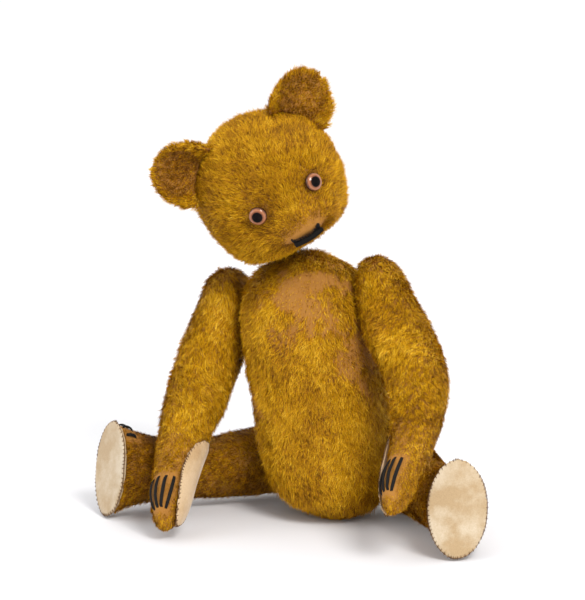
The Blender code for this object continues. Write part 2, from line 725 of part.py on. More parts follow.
def make_ear(side, sign, parent):
    """A cupped half round of cloth, sewn to the crown along its straight edge."""
    matrix = skull_matrix()
    up = Vector((math.sin(EAR_TURN) * sign, math.sin(EAR_BACK), math.cos(EAR_TURN))).normalized()
    front = Vector((0, -1, 0))
    wide = up.cross(front).normalized()
    front = wide.cross(up).normalized()
    root = up * (head_reach(up) - EAR_ROOT)

    def place(u, v, depth):
        reach = math.hypot(u, v)
        if v < 0:
            u = math.copysign(math.sqrt(abs(u) * reach), u)
            v = -math.sqrt(-v * reach)
        w = EAR_HALF_WIDTH * u
        h = (EAR_HEIGHT + EAR_ROOT) * (v + 1) / 2
        cup = EAR_CUP * (reach**2) + 0.012 * w * w
        point = root + wide * w + up * h + front * (cup + depth)
        return matrix @ (Vector(SKULL_CENTRE) + point)

    def body(r):
        return EAR_THICK / 2 * math.sqrt(max(0.0, 1 - r**4)) + 0.6

    shape = blanket(place, lambda r: -body(r), lambda r: body(r) * 0.5, 5, 20)
    ear = add_mesh(f"{side}_ear", [shape], parent, "mohair")
    cutter = add_mesh(f"{side}_ear_seat", [head_surface(18, 22, CLEAR + 0.2)], parent, None)
    cut(ear, cutter)


def make_nose(parent):
    """Satin stitches over the end of the muzzle, wider at the top."""

    def place(u, v, offset):
        width = NOSE_TURN * (1 + NOSE_FLARE * v)
        return head_point(look(u * width, -MUZZLE_DROP + NOSE_LIFT + v * NOSE_RISE), offset)

    def top(r):
        return CLEAR + NOSE_THICK * math.sqrt(max(0, 1 - 0.75 * r * r))

    shape = blanket(place, lambda r: CLEAR, top, 4, 16)
    add_mesh("nose_stitching", [shape], parent, "thread")


def make_mouth(parent):
    """One thread: along the left lip, then along the right one, meeting under the nose."""
    route = []
    for k in range(-6, 7):
        drop = MOUTH_DROP + MOUTH_CURL * abs(k) ** 1.2
        route.append(head_point(look(MOUTH_STEP * k, -MUZZLE_DROP - drop), MOUTH_RADIUS + 0.4))
    add_wire("mouth_stitching", route, MOUTH_RADIUS, parent, "thread")


def make_neck_pin(parent):
    """The neck's cotter pin. Its two wires lie one behind the other, so that the head can lean."""
    eye = LEAN_HEIGHT + NECK_EYE_HEIGHT - EYE_RADIUS
    route = pin_route(Vector((0, 0, 0)), Vector((0, 0, 1)), Vector((0, 1, 0)), -WIRE_START - BODY_DEPTH, eye)
    add_wire("neck_cotter_pin", route, WIRE_RADIUS, parent, "steel")


def make_neck_half(torso):
    """The torso's half of the neck joint."""
    down = torso_frame().to_3x3() @ Vector((0, 0, -1))
    make_stack("neck", "body", NECK_DISC, DISC_START + BODY_DEPTH, neck_frame().translation, down, torso)


def main():
    clear_scene()
    torso = make_frame("torso_frame", Matrix.Identity(4))
    make_torso(torso)
    make_neck_half(torso)
    make_neck_pin(make_frame("neck_pin_frame", neck_frame()))
    make_head(make_frame("head_frame", head_frame()))
    for side, sign in (("left", 1), ("right", -1)):
        for limb, matrix, radius, build in (
            ("shoulder", shoulder_frame(side), SHOULDER_DISC, make_arm),
            ("hip", hip_frame(side, side), HIP_DISC, make_leg),
        ):
            parent = make_frame(f"{side}_{limb}_frame", matrix)
            build(side, parent)
            make_limb_joint(f"{side}_{limb}", matrix, sign, radius, parent, torso)


main()
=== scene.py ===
"""Looks of the jointed mohair bear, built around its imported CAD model.

The torso, head, arms and legs get a stuffed skin: the CAD shell remeshed, smoothed, run through a
short cloth simulation and made uneven with noise. The simulation moves it little, under a millimetre
on average; its fullness is the CAD's. Each skin carries a woven backing and a pile of mohair strands.
Ears, felt pads with a sewn rim, stitched claws and nose, and glass eyes go on top.
Lengths are metres in the CAD frame: the bear faces -Y and its own left is +X.
"""

import json
import math

import bmesh
import bpy
import numpy as np
from mathutils import Matrix, Vector
from mathutils.bvhtree import BVHTree

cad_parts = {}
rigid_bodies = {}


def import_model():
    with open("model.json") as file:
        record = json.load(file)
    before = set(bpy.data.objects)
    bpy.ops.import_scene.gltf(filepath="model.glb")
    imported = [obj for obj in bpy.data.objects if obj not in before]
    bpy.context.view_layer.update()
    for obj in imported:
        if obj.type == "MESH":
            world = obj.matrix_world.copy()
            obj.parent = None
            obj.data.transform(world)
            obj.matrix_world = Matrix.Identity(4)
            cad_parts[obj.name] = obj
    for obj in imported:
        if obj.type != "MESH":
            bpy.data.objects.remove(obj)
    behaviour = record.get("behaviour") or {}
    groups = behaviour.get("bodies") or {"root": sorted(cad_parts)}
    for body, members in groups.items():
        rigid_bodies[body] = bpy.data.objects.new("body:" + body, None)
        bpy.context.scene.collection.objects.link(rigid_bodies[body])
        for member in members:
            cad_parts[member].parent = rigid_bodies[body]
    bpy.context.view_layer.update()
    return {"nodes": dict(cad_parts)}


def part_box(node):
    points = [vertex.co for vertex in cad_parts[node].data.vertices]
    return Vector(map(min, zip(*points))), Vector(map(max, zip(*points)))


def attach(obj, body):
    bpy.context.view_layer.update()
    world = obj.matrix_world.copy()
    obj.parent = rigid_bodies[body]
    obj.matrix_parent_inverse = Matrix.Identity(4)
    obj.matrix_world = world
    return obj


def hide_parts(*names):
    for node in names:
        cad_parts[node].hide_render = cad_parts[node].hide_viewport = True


MM = 0.001
SIDES = ("left", "right")
LIMBS = tuple(f"{side}_{limb}" for side in SIDES for limb in ("arm", "leg"))
STUFFED = ("torso", "head", *LIMBS)

# Skins
SKIN_VOXEL = 3.6 * MM
EAR_VOXEL = 1.8 * MM
PAD_VOXEL = 1.1 * MM
SKIN_SHRINK = 1.2 * MM
CLOTH_MOVE_CAP = 2.6 * MM
SIM_FRAMES = 20
SIM_PRESSURE = 4
LUMP_HEIGHT = 0.55 * MM
LUMP_SIZE = 34 * MM

# Stitches: the claws' three strands, the nose's satin and the cord round a pad
CLAWS = 4
CLAW_RING = 1.7 * MM
CLAW_POINTS = 9
CLAW_HEIGHT = 1.9 * MM
CLAW_SINK = 0.6 * MM
CLAW_LANE = 0.62 * MM
CLAW_THREAD = 0.55 * MM
NOSE_LANE = 0.52 * MM
NOSE_THREAD = 0.42 * MM
NOSE_RISE = 6 * MM
NOSE_RISE_STEPS = 7
NOSE_TUCK = 2.4 * MM
RIM_STITCHES = 60
RIM_THREAD = 0.30 * MM

# Eyes
EYE_RADIUS = 6.0 * MM
PUPIL_RADIUS = 3.35 * MM

# Pile: strands on each piece, and their length where it is unworn
PILES = {
    "torso": {"pieces": 2, "strands": 66000, "length": 6.2 * MM},
    "head": {"pieces": 2, "strands": 60000, "length": 6.0 * MM},
    "arm": {"pieces": 1, "strands": 62000, "length": 5.6 * MM},
    "leg": {"pieces": 1, "strands": 62000, "length": 3.9 * MM},
    "ear": {"pieces": 1, "strands": 12000, "length": 4.4 * MM},
}
STRAND_WIDTH = 0.40 * MM
ROOT_DEPTH = 0.5 * MM
FLOOR_CLEAR = 0.4 * MM
WAVES = 7

# Worn patches on the torso: x, depth behind its front, z; half sizes; how far the pile is gone
TORSO_WEAR = (
    ((-0.010, 0.0, 0.152), (0.021, 0.05, 0.017), 1.0),
    ((0.022, 0.02, 0.118), (0.009, 0.05, 0.022), 0.9),
    ((-0.050, 0.03, 0.076), (0.012, 0.05, 0.014), 0.9),
    ((-0.022, 0.0, 0.128), (0.010, 0.05, 0.010), 0.6),
)

# Mohair colours, from the root, darker as painted shade, to the bleached tip, and those of the worn cloth,
# which also paint shade in the ears' cups
GOLD = ((0.16, 0.058, 0.001), (0.40, 0.175, 0.001), (0.62, 0.325, 0.003), (0.85, 0.53, 0.04))
WEAR_AND_SHADE = ((0.11, 0.035, 0.001), (0.35, 0.125, 0.003), (0.56, 0.25, 0.015))
GOLD_STEPS = 9
WEAR_AND_SHADE_STEPS = 4

# Camera: the direction it looks from, its distance and the height of the picture at the bear
CAMERA_AZIMUTH = math.radians(22)
CAMERA_ELEVATION = math.radians(12.4)
CAMERA_DISTANCE = 2.5
PICTURE_HEIGHT = 0.390
SENSOR = 36
AIM = Vector((-0.0256, -0.0103, 0.1441))

# Stage: lights as place, size, energy and colour; the floor's colour darkens towards the camera, as painted
# shade
WORLD_STRENGTH = 1.05
KEY_LIGHT = ((1.3, -1.3, 1.7), 0.9, 42, (1.0, 0.98, 0.95))
FILL_LIGHT = ((-1.6, -1.4, 0.9), 1.6, 12, (0.96, 0.98, 1.0))
LIGHT_TARGET = Vector((0, 0, 0.12))
FLOOR_SIZE = 9
FLOOR_NEAR = 0.45
FLOOR_FADE = 0.9
FLOOR_SHADE_TONES = ((0.0, (0.66, 0.66, 0.69)), (1.0, (0.92, 0.92, 0.935)))

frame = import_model()
nodes = frame["nodes"]


# ---------------------------------------------------------------- meshes


def link(name, mesh):
    obj = bpy.data.objects.new(name, mesh)
    bpy.context.scene.collection.objects.link(obj)
    return obj


def joined(name, sources):
    """One new object from copies of several CAD nodes' meshes."""
    shape = bmesh.new()
    for source in sources:
        shape.from_mesh(nodes[source].data)
    mesh = bpy.data.meshes.new(name)
    shape.to_mesh(mesh)
    shape.free()
    return link(name, mesh)


def settle(obj):
    """Applies every modifier."""
    graph = bpy.context.evaluated_depsgraph_get()
    old = obj.data
    obj.data = bpy.data.meshes.new_from_object(obj.evaluated_get(graph))
    obj.modifiers.clear()
    bpy.data.meshes.remove(old)


def remesh(obj, voxel):
    modifier = obj.modifiers.new("remesh", "REMESH")
    modifier.mode = "VOXEL"
    modifier.voxel_size = voxel
    settle(obj)


def smooth(obj, times):
    modifier = obj.modifiers.new("smooth", "SMOOTH")
    modifier.factor = 0.5
    modifier.iterations = times
    settle(obj)


def subdivide(obj):
    modifier = obj.modifiers.new("subdivision", "SUBSURF")
    modifier.levels = 1
    modifier.render_levels = 1
    settle(obj)


def keep_outer(obj):
    """Deletes everything but the largest connected piece of surface."""
    shape = bmesh.new()
    shape.from_mesh(obj.data)
    left = set(shape.verts)
    best = []
    while left:
        group = [left.pop()]
        for vertex in group:
            for edge in vertex.link_edges:
                other = edge.other_vert(vertex)
                if other in left:
                    left.remove(other)
                    group.append(other)
        if len(group) > len(best):
            best = group
    keep = set(best)
    bmesh.ops.delete(shape, geom=[v for v in shape.verts if v not in keep], context="VERTS")
    shape.to_mesh(obj.data)
    shape.free()


def points_of(mesh):
    points = np.empty(len(mesh.vertices) * 3)
    mesh.vertices.foreach_get("co", points)
    return points.reshape(-1, 3)


def normals_of(mesh):
    normals = np.empty(len(mesh.vertices) * 3)
    mesh.vertex_normals.foreach_get("vector", normals)
    return normals.reshape(-1, 3)


def triangles_of(mesh):
    mesh.calc_loop_triangles()
    triangles = np.empty(len(mesh.loop_triangles) * 3, np.int32)
    mesh.loop_triangles.foreach_get("vertices", triangles)
    return triangles.reshape(-1, 3)


def set_points(mesh, points):
    mesh.vertices.foreach_set("co", points.astype(np.float32).ravel())
    mesh.update()


def shade_smooth(obj):
    obj.data.polygons.foreach_set("use_smooth", [True] * len(obj.data.polygons))


def unit(vectors):
    return vectors / np.maximum(np.linalg.norm(vectors, axis=-1, keepdims=True), 1e-9)


def ramp(low, high, values):
    """0 below low, 1 above high, smooth between."""
    share = np.clip((values - low) / (high - low), 0, 1)
    return share * share * (3 - 2 * share)


def ripple(points, wavelength, seed):
    """Smooth noise of about -1 to 1: plane waves in random directions, added up."""
    rng = np.random.default_rng(seed)
    total = np.zeros(len(points))
    for _ in range(WAVES):
        direction = unit(rng.normal(size=3))
        turns = (0.7 + 0.7 * rng.random()) / wavelength
        total += np.sin(2 * math.pi * (points @ direction * turns + rng.random()))
    return total / math.sqrt(2 * WAVES) * 1.2


def middle(node):
    low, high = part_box(node)
    return (low + high) / 2


def main_axes(points):
    """The centre and the three main axes of a cloud of points, longest first."""
    centre = points.mean(0)
    _, _, axes = np.linalg.svd(points - centre, full_matrices=False)
    return centre, axes


def tree_of(mesh):
    return BVHTree.FromPolygons(points_of(mesh).tolist(), triangles_of(mesh).tolist())


def distances(points, trees, reach):
    """How far each point is from the nearest of some surfaces, up to a reach."""
    found = np.full(len(points), reach)
    for tree in trees:
        for index, point in enumerate(points):
            distance = tree.find_nearest(point, reach)[3]
            if distance is not None and distance < found[index]:
                found[index] = distance
    return found


# ---------------------------------------------------------------- materials


class Nodes:
    """A short way to write a material's node tree."""

    def __init__(self, name):
        self.material = bpy.data.materials.new(name)
        self.material.use_nodes = True
        self.tree = self.material.node_tree
        self.shader = self.tree.nodes["Principled BSDF"]
        self.place = self.add("ShaderNodeTexCoord").outputs["Object"]

    def add(self, kind, **settings):
        node = self.tree.nodes.new(kind)
        for key, value in settings.items():
            if hasattr(node, key):
                setattr(node, key, value)
            else:
                node.inputs[key].default_value = value
        return node

    def join(self, source, target):
        self.tree.links.new(source, target)

    def noise(self, scale, detail=4.0, rough=0.55):
        node = self.add("ShaderNodeTexNoise", Scale=scale, Detail=detail, Roughness=rough)
        self.join(self.place, node.inputs["Vector"])
        return node.outputs["Fac"]

    def waves(self, scale, axis, distortion=0.6):
        node = self.add("ShaderNodeTexWave", Scale=scale, Distortion=distortion)
        node.bands_direction = axis
        self.join(self.place, node.inputs["Vector"])
        return node.outputs["Fac"]

    def ramp(self, value, stops):
        node = self.add("ShaderNodeValToRGB")
        elements = node.color_ramp.elements
        while len(elements) < len(stops):
            elements.new(0.5)
        for element, (position, colour) in zip(elements, stops):
            element.position = position
            element.color = (*colour, 1)
        self.join(value, node.inputs["Fac"])
        return node.outputs["Color"]

    def mix(self, share, first, second, blend="MIX"):
        node = self.add("ShaderNodeMix", data_type="RGBA", blend_type=blend)
        if isinstance(share, float):
            node.inputs[0].default_value = share
        else:
            self.join(share, node.inputs[0])
        self.join(first, node.inputs[6])
        self.join(second, node.inputs[7])
        return node.outputs[2]

    def maths(self, operation, first, second):
        node = self.add("ShaderNodeMath", operation=operation)
        for socket, value in zip(node.inputs, (first, second)):
            if isinstance(value, (int, float)):
                socket.default_value = value
            else:
                self.join(value, socket)
        return node.outputs[0]

    def bump(self, height, strength, distance):
        node = self.add("ShaderNodeBump", Strength=strength, Distance=distance)
        self.join(height, node.inputs["Height"])
        self.join(node.outputs["Normal"], self.shader.inputs["Normal"])

    def finish(self, colour=None, **values):
        if colour is not None:
            self.join(colour, self.shader.inputs["Base Color"])
        for key, value in values.items():
            self.shader.inputs[key.replace("_", " ")].default_value = value
        return self.material


def weave_material():
    """The tan woven ground that shows where the pile is gone."""
    made = Nodes("mohair_backing")
    stain = made.ramp(made.noise(26, 5), ((0.3, (0.40, 0.17, 0.016)), (0.7, (0.56, 0.27, 0.045))))
    warp = made.waves(620, "X")
    weft = made.waves(620, "Z")
    threads = made.maths("MULTIPLY", warp, weft)
    dark = made.ramp(threads, ((0.0, (0.62, 0.55, 0.5)), (1.0, (1, 1, 1))))
    made.bump(threads, 0.5, 0.4 * MM)
    return made.finish(made.mix(1.0, stain, dark, "MULTIPLY"), Roughness=0.9)


def felt_material(name, cream, stain, amount):
    made = Nodes(name)
    blotch = made.ramp(made.noise(38, 6, 0.62), ((amount, stain), (amount + 0.22, cream)))
    fibre = made.noise(1400, 3, 0.7)
    speck = made.ramp(fibre, ((0.3, (0.84, 0.82, 0.78)), (0.62, (1, 1, 1))))
    made.bump(made.noise(900, 4, 0.7), 0.6, 0.35 * MM)
    return made.finish(made.mix(1.0, blotch, speck, "MULTIPLY"), Roughness=0.95, Sheen_Weight=0.25)


def grain_material(name, low, high, scale, roughness, metallic=0.0, strength=0.3):
    """Two shades mixed by noise, with a fine relief: thread, card, board, wool or wire."""
    made = Nodes(name)
    colour = made.ramp(made.noise(scale, 6), ((0.35, low), (0.65, high)))
    made.bump(made.noise(scale * 4, 3), strength, 0.2 * MM)
    return made.finish(colour, Roughness=roughness, Metallic=metallic, Specular_IOR_Level=0.2)


def iris_material(radius):
    """Painted amber behind glass, darker at its rim and pupil, with fine streaks."""
    made = Nodes("eye_iris")
    parts = made.add("ShaderNodeSeparateXYZ")
    made.join(made.place, parts.inputs[0])
    across = made.maths("POWER", parts.outputs["X"], 2)
    along = made.maths("POWER", parts.outputs["Y"], 2)
    away = made.maths("SQRT", made.maths("ADD", across, along), 0)
    share = made.maths("DIVIDE", away, radius)
    streak = made.maths("MULTIPLY", made.noise(900, 3), 0.16)
    tones = (
        (0.50, (0.03, 0.008, 0.003)),
        (0.62, (0.17, 0.050, 0.016)),
        (0.80, (0.36, 0.135, 0.055)),
        (0.97, (0.04, 0.012, 0.005)),
    )
    colour = made.ramp(made.maths("ADD", share, made.maths("SUBTRACT", streak, 0.08)), tones)
    return made.finish(colour, Roughness=0.15, Specular_IOR_Level=0.2, Coat_Weight=0.5, Coat_Roughness=0.02)


def pupil_material():
    made = Nodes("eye_pupil_glass")
    colour = made.ramp(made.noise(300, 2), ((0.3, (0.004, 0.003, 0.003)), (0.7, (0.010, 0.007, 0.006))))
    return made.finish(colour, Roughness=0.06, Specular_IOR_Level=0.04)


def shades(anchors, steps):
    """Colours spread evenly along a few anchors."""
    made = []
    for k in range(steps):
        place = k / (steps - 1) * (len(anchors) - 1)
        index = min(int(place), len(anchors) - 2)
        share = place - index
        made.append(tuple(a + (b - a) * share for a, b in zip(anchors[index], anchors[index + 1])))
    return made


def pile_materials():
    """One plain shade for each tone of strand; a pile mixes them strand by strand."""
    made = []
    for name, anchors, steps in (("gold", GOLD, GOLD_STEPS), ("worn", WEAR_AND_SHADE, WEAR_AND_SHADE_STEPS)):
        for number, colour in enumerate(shades(anchors, steps)):
            material = bpy.data.materials.new(f"mohair_{name}_{number}")
            material.use_nodes = True
            shader = material.node_tree.nodes["Principled BSDF"]
            shader.inputs["Base Color"].default_value = (*colour, 1)
            shader.inputs["Roughness"].default_value = 0.55
            shader.inputs["Specular IOR Level"].default_value = 0.12
            made.append(material)
    return made


# ---------------------------------------------------------------- skins


def make_skin(body, sources):
    obj = joined(f"{body}_skin", sources)
    remesh(obj, SKIN_VOXEL)
    keep_outer(obj)
    smooth(obj, 4)
    mesh = obj.data
    set_points(mesh, points_of(mesh) - normals_of(mesh) * SKIN_SHRINK)
    return obj


def add_cloth(obj):
    cloth = obj.modifiers.new("cloth", "CLOTH")
    cloth.settings.use_pressure = True
    cloth.settings.uniform_pressure_force = SIM_PRESSURE
    cloth.settings.effector_weights.gravity = 0
    cloth.point_cache.frame_start = 1
    cloth.point_cache.frame_end = SIM_FRAMES


def run_cloth(objects):
    """Runs all the skins as cloth under a slight pressure, and limits how far a point may move."""
    scene = bpy.context.scene
    starts = {obj.name: points_of(obj.data) for obj in objects}
    for obj in objects:
        add_cloth(obj)
    for number in range(1, SIM_FRAMES + 1):
        scene.frame_set(number)
    graph = bpy.context.evaluated_depsgraph_get()
    ends = {obj.name: points_of(obj.evaluated_get(graph).data) for obj in objects}
    for obj in objects:
        obj.modifiers.clear()
        start = starts[obj.name]
        move = ends[obj.name] - start
        size = np.linalg.norm(move, axis=1, keepdims=True)
        set_points(obj.data, start + move * np.minimum(1, CLOTH_MOVE_CAP / np.maximum(size, 1e-9)))
    scene.frame_set(1)


def lumps(obj, seed):
    """The uneven packing of wood wool under the cloth, as noise."""
    mesh = obj.data
    points = points_of(mesh)
    height = ripple(points, LUMP_SIZE, seed) * LUMP_HEIGHT
    set_points(mesh, points + normals_of(mesh) * height[:, None])


def make_skins():
    made = {}
    for body in STUFFED:
        made[body] = make_skin(body, (f"{body}_shell", f"{body}_stuffing"))
    run_cloth(list(made.values()))
    material = weave_material()
    for seed, (body, obj) in enumerate(made.items()):
        smooth(obj, 2)
        lumps(obj, seed)
        subdivide(obj)
        shade_smooth(obj)
        obj.data.materials.append(material)
        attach(obj, body)
        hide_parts(f"{body}_shell", f"{body}_stuffing")
    return made


def make_ears():
    made = {}
    material = weave_material()
    for side in SIDES:
        obj = joined(f"{side}_ear_skin", (f"{side}_ear",))
        remesh(obj, EAR_VOXEL)
        keep_outer(obj)
        smooth(obj, 3)
        subdivide(obj)
        shade_smooth(obj)
        obj.data.materials.append(material)
        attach(obj, "head")
        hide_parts(f"{side}_ear")
        made[side] = obj
    return made


# ---------------------------------------------------------------- pile


def pile_mesh(name, root, middle_points, tip, across, tones, materials):
    """One mesh of tapering strands: a four-cornered lower half and a pointed upper half."""
    count = len(root)
    half = across * (STRAND_WIDTH / 2)
    narrow = half * 0.8
    corners = np.stack([root - half, root + half, middle_points - narrow, middle_points + narrow, tip], 1)
    corners[..., 2] = np.maximum(corners[..., 2], FLOOR_CLEAR)
    mesh = bpy.data.meshes.new(name)
    mesh.vertices.add(count * 5)
    mesh.vertices.foreach_set("co", corners.astype(np.float32).ravel())
    first = np.arange(count)[:, None] * 5
    loops = np.concatenate([first + [0, 1, 3, 2], first + [2, 3, 4]], 1)
    mesh.loops.add(count * 7)
    mesh.loops.foreach_set("vertex_index", loops.astype(np.int32).ravel())
    mesh.polygons.add(count * 2)
    starts = np.arange(count)[:, None] * 7 + [0, 4]
    mesh.polygons.foreach_set("loop_start", starts.astype(np.int32).ravel())
    mesh.polygons.foreach_set("material_index", tones.astype(np.int32).ravel())
    mesh.polygons.foreach_set("use_smooth", np.ones(count * 2, bool))
    mesh.update(calc_edges=True)
    for material in materials:
        mesh.materials.append(material)
    return mesh


def pick_tones(rng, tone, worn):
    """The material of each strand's lower and upper face; the lower one darker, as painted shade at the
    root.
    """
    level = np.clip(tone + rng.normal(0, 0.13, len(tone)), 0, 1) * (GOLD_STEPS - 1)
    upper = np.clip(np.round(level), 0, GOLD_STEPS - 1)
    # Painted shade: each strand's lower face takes a tone about two steps darker than its upper face.
    lower = np.clip(np.round(level - 2.2), 0, GOLD_STEPS - 1)
    wear_and_shade_strand = rng.random(len(tone)) < worn
    rust = np.clip(np.round(tone * WEAR_AND_SHADE_STEPS + rng.normal(0, 0.8, len(tone)) - 0.5), 0, WEAR_AND_SHADE_STEPS - 1)
    upper = np.where(wear_and_shade_strand, GOLD_STEPS + rust, upper)
    # Painted shade: a worn strand's lower face also takes the next darker worn tone.
    lower = np.where(wear_and_shade_strand, GOLD_STEPS + np.maximum(rust - 1, 0), lower)
    return np.stack([lower, upper], 1)


def grow(name, skin, body, count, seed, field, materials):
    """Plants strands over a skin. field gives comb, density, length, lift, tone, and wear with painted
    shade, by vertex.
    """
    mesh = skin.data
    points = points_of(mesh)
    triangles = triangles_of(mesh)
    corner = points[triangles]
    area = np.linalg.norm(np.cross(corner[:, 1] - corner[:, 0], corner[:, 2] - corner[:, 0]), axis=1)
    share = np.cumsum(area * field["density"][triangles].mean(1))
    rng = np.random.default_rng(seed)
    pick = triangles[np.minimum(np.searchsorted(share / share[-1], rng.random(count)), len(share) - 1)]
    split = np.sqrt(rng.random(count))
    slide = rng.random(count)
    weights = np.stack([1 - split, split * (1 - slide), split * slide], 1)

    def spread(values):
        return np.einsum("ij,ij...->i...", weights, values[pick])

    root = spread(points)
    normal = unit(spread(normals_of(mesh)))
    comb = spread(field["comb"])
    side = np.cross(normal, comb)
    swirl = 0.5 * ripple(root, 46 * MM, seed + 1) + 0.35 * ripple(root, 15 * MM, seed + 2)
    lock = np.stack([ripple(root, 4.2 * MM, seed + 3 + k) for k in range(3)], 1)
    comb = unit(comb * np.cos(swirl)[:, None] + side * np.sin(swirl)[:, None])
    lift = spread(field["lift"])[:, None]
    loose = rng.normal(0, 1, (count, 3))
    start = unit(normal * (0.35 + lift) + comb * 0.80 + lock * 0.20 + loose * 0.14)
    end = unit(normal * (0.05 + 0.6 * lift) + comb + lock * 0.34 + loose * 0.24)
    length = spread(field["length"]) * rng.uniform(0.6, 1.12, count)
    length = length[:, None]
    bend = root + start * length * 0.48
    tip = bend + end * length * 0.52
    across = unit(np.cross(end, normal) + loose[:, ::-1] * 0.25)
    tone = spread(field["tone"]) + 0.14 * ripple(root, 6 * MM, seed + 7)
    tones = pick_tones(rng, tone, spread(field["worn"]))
    made = link(name, pile_mesh(name, root - normal * ROOT_DEPTH, bend, tip, across, tones, materials))
    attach(made, body)
    return made


def tangent(flow, normals):
    return unit(flow - normals * np.sum(flow * normals, axis=1, keepdims=True))


def base_field(skin, flow, kind, seed):
    """An even pile, before wear."""
    points = points_of(skin.data)
    normals = normals_of(skin.data)
    return {
        "points": points,
        "comb": tangent(flow(points), normals),
        "density": np.ones(len(points)),
        "length": PILES[kind]["length"] * (1 + 0.18 * ripple(points, 22 * MM, seed)),
        "lift": 0.15 + 0.12 * ripple(points, 30 * MM, seed + 5),
        "tone": 0.56 + 0.13 * ripple(points, 40 * MM, seed + 9) + 0.08 * ripple(points, 12 * MM, seed + 11),
        "worn": 0.08 + 0.06 * ripple(points, 26 * MM, seed + 13),
    }


def wear(field, centre, size, strength, seed):
    """A patch of wear: an ellipsoid with a ragged edge, where little pile is left."""
    away = np.linalg.norm((field["points"] - np.array(centre)) / np.array(size), axis=1)
    ragged = 0.45 * ripple(field["points"], 17 * MM, seed) + 0.35 * ripple(field["points"], 7 * MM, seed + 1)
    share = ramp(0.25, -0.25, away - 1 + ragged) * strength
    field["density"] *= 1 - 0.86 * share
    field["length"] *= 1 - 0.5 * share
    field["worn"] = np.clip(field["worn"] + 0.5 * share, 0, 1)
    field["tone"] = field["tone"] + 0.10 * share


def clear_round(field, meshes, bare, short, floor_length):
    """No pile within bare of some surfaces, and a short one out to short."""
    near = distances(field["points"], [tree_of(mesh) for mesh in meshes], short)
    field["density"] = np.where(near < bare, 0, field["density"])
    share = ramp(bare, short, near)
    field["length"] = floor_length + (field["length"] - floor_length) * share


def keep_off(field, others):
    """Shortens the pile where another body is close, and leaves it out between the joints' faces."""
    near = distances(field["points"], others, 9 * MM)
    field["density"] *= ramp(1.2 * MM, 3.0 * MM, near)
    field["length"] = np.minimum(field["length"], 0.4 * MM + 0.75 * near)


def make_piles(skins, ears, materials):
    trees = {body: tree_of(skin.data) for body, skin in skins.items()}
    for number, body in enumerate(STUFFED):
        kind = body.split("_")[-1]
        skin = skins[body]
        seed = 100 * (number + 1)
        field = FIELDS[kind](skin, body, seed)
        keep_off(field, [tree for other, tree in trees.items() if other != body])
        pile = PILES[kind]
        for piece in range(pile["pieces"]):
            grow(f"{body}_mohair_{piece}", skin, body, pile["strands"], seed + 50 + piece, field, materials)
    for number, side in enumerate(SIDES):
        seed = 1000 + 100 * number
        field = ear_field(ears[side], side, seed)
        grow(f"{side}_ear_mohair", ears[side], "head", PILES["ear"]["strands"], seed + 50, field, materials)


def torso_field(skin, body, seed):
    low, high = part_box("torso_shell")
    height = high.z - low.z

    def flow(points):
        lean = np.array([-0.05, -0.12, -1.0])
        return np.broadcast_to(lean, points.shape) + 0.15 * points * [1, 0, 0] / height

    field = base_field(skin, flow, "torso", seed)
    for number, ((across, depth, up), size, strength) in enumerate(TORSO_WEAR):
        wear(field, (across, low.y + depth, up), size, strength, seed + 20 + 2 * number)
    # Painted shade: the pile darker towards the bottom of the torso, near the floor.
    low_shade = ramp(0.045, 0.0, field["points"][:, 2])
    field["tone"] -= 0.16 * low_shade
    field["density"] *= np.where(field["points"][:, 2] < 1.5 * MM, 0, 1)
    return field


def head_field(skin, body, seed):
    nose = np.array(middle("nose_stitching"))

    def flow(points):
        return points - nose

    field = base_field(skin, flow, "head", seed)
    field["tone"] -= 0.12
    away = np.linalg.norm(field["points"] - nose, axis=1)
    muzzle = ramp(32 * MM, 8 * MM, away)
    field["length"] *= 1 - 0.55 * muzzle
    field["tone"] -= 0.04 * muzzle
    field["worn"] += 0.10 * muzzle
    clear_round(field, [nodes["nose_stitching"].data], 5.5 * MM, 11 * MM, 1.0 * MM)
    clear_round(field, [nodes["mouth_stitching"].data], 0.6 * MM, 3 * MM, 1.2 * MM)
    eyes = [nodes[f"{side}_eye_glass"].data for side in SIDES]
    # Painted shade: the pile darker close round the eyes.
    near_eyes = distances(field["points"], [tree_of(mesh) for mesh in eyes], 12 * MM)
    field["tone"] -= 0.16 * ramp(12 * MM, 2 * MM, near_eyes)
    clear_round(field, eyes, 0.9 * MM, 9 * MM, 1.6 * MM)
    return field


def arm_field(skin, body, seed):
    side = body.split("_")[0]
    low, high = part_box(f"{body}_shell")
    shoulder = np.array([(low.x + high.x) / 2, high.y, high.z])
    paw = np.array(middle(f"{side}_paw_pad"))
    along = unit(paw - shoulder)

    def flow(points):
        return np.broadcast_to(along, points.shape) + np.array([0, 0, -0.3])

    field = base_field(skin, flow, "arm", seed)
    span = float(np.linalg.norm(paw - shoulder))
    reach = (field["points"] - shoulder) @ along / span
    tip = ramp(0.62, 0.95, reach)
    field["length"] *= 1 - 0.45 * tip
    field["tone"] -= 0.07 * tip
    field["worn"] += 0.16 * tip
    clear_round(field, [nodes[f"{side}_paw_pad"].data], 1.4 * MM, 6 * MM, 2.0 * MM)
    clear_round(field, [bpy.data.objects[f"{side}_arm_claws"].data], 1.5 * MM, 6 * MM, 1.2 * MM)
    return field


def leg_field(skin, body, seed):
    side = body.split("_")[0]
    sole = np.array(middle(f"{side}_foot_pad"))
    hip = np.array(middle(f"{side}_hip_limb_disc"))
    along = unit(sole - hip)

    def flow(points):
        return np.broadcast_to(along, points.shape) + np.array([0, 0, -0.25])

    field = base_field(skin, flow, "leg", seed)
    field["tone"] -= 0.20
    field["worn"] += 0.28
    field["density"] *= np.where(field["points"][:, 2] < 0.8 * MM, 0.3, 1)
    clear_round(field, [nodes[f"{side}_foot_pad"].data], 1.3 * MM, 5 * MM, 1.8 * MM)
    clear_round(field, [bpy.data.objects[f"{side}_leg_claws"].data], 1.5 * MM, 6 * MM, 1.2 * MM)
    return field


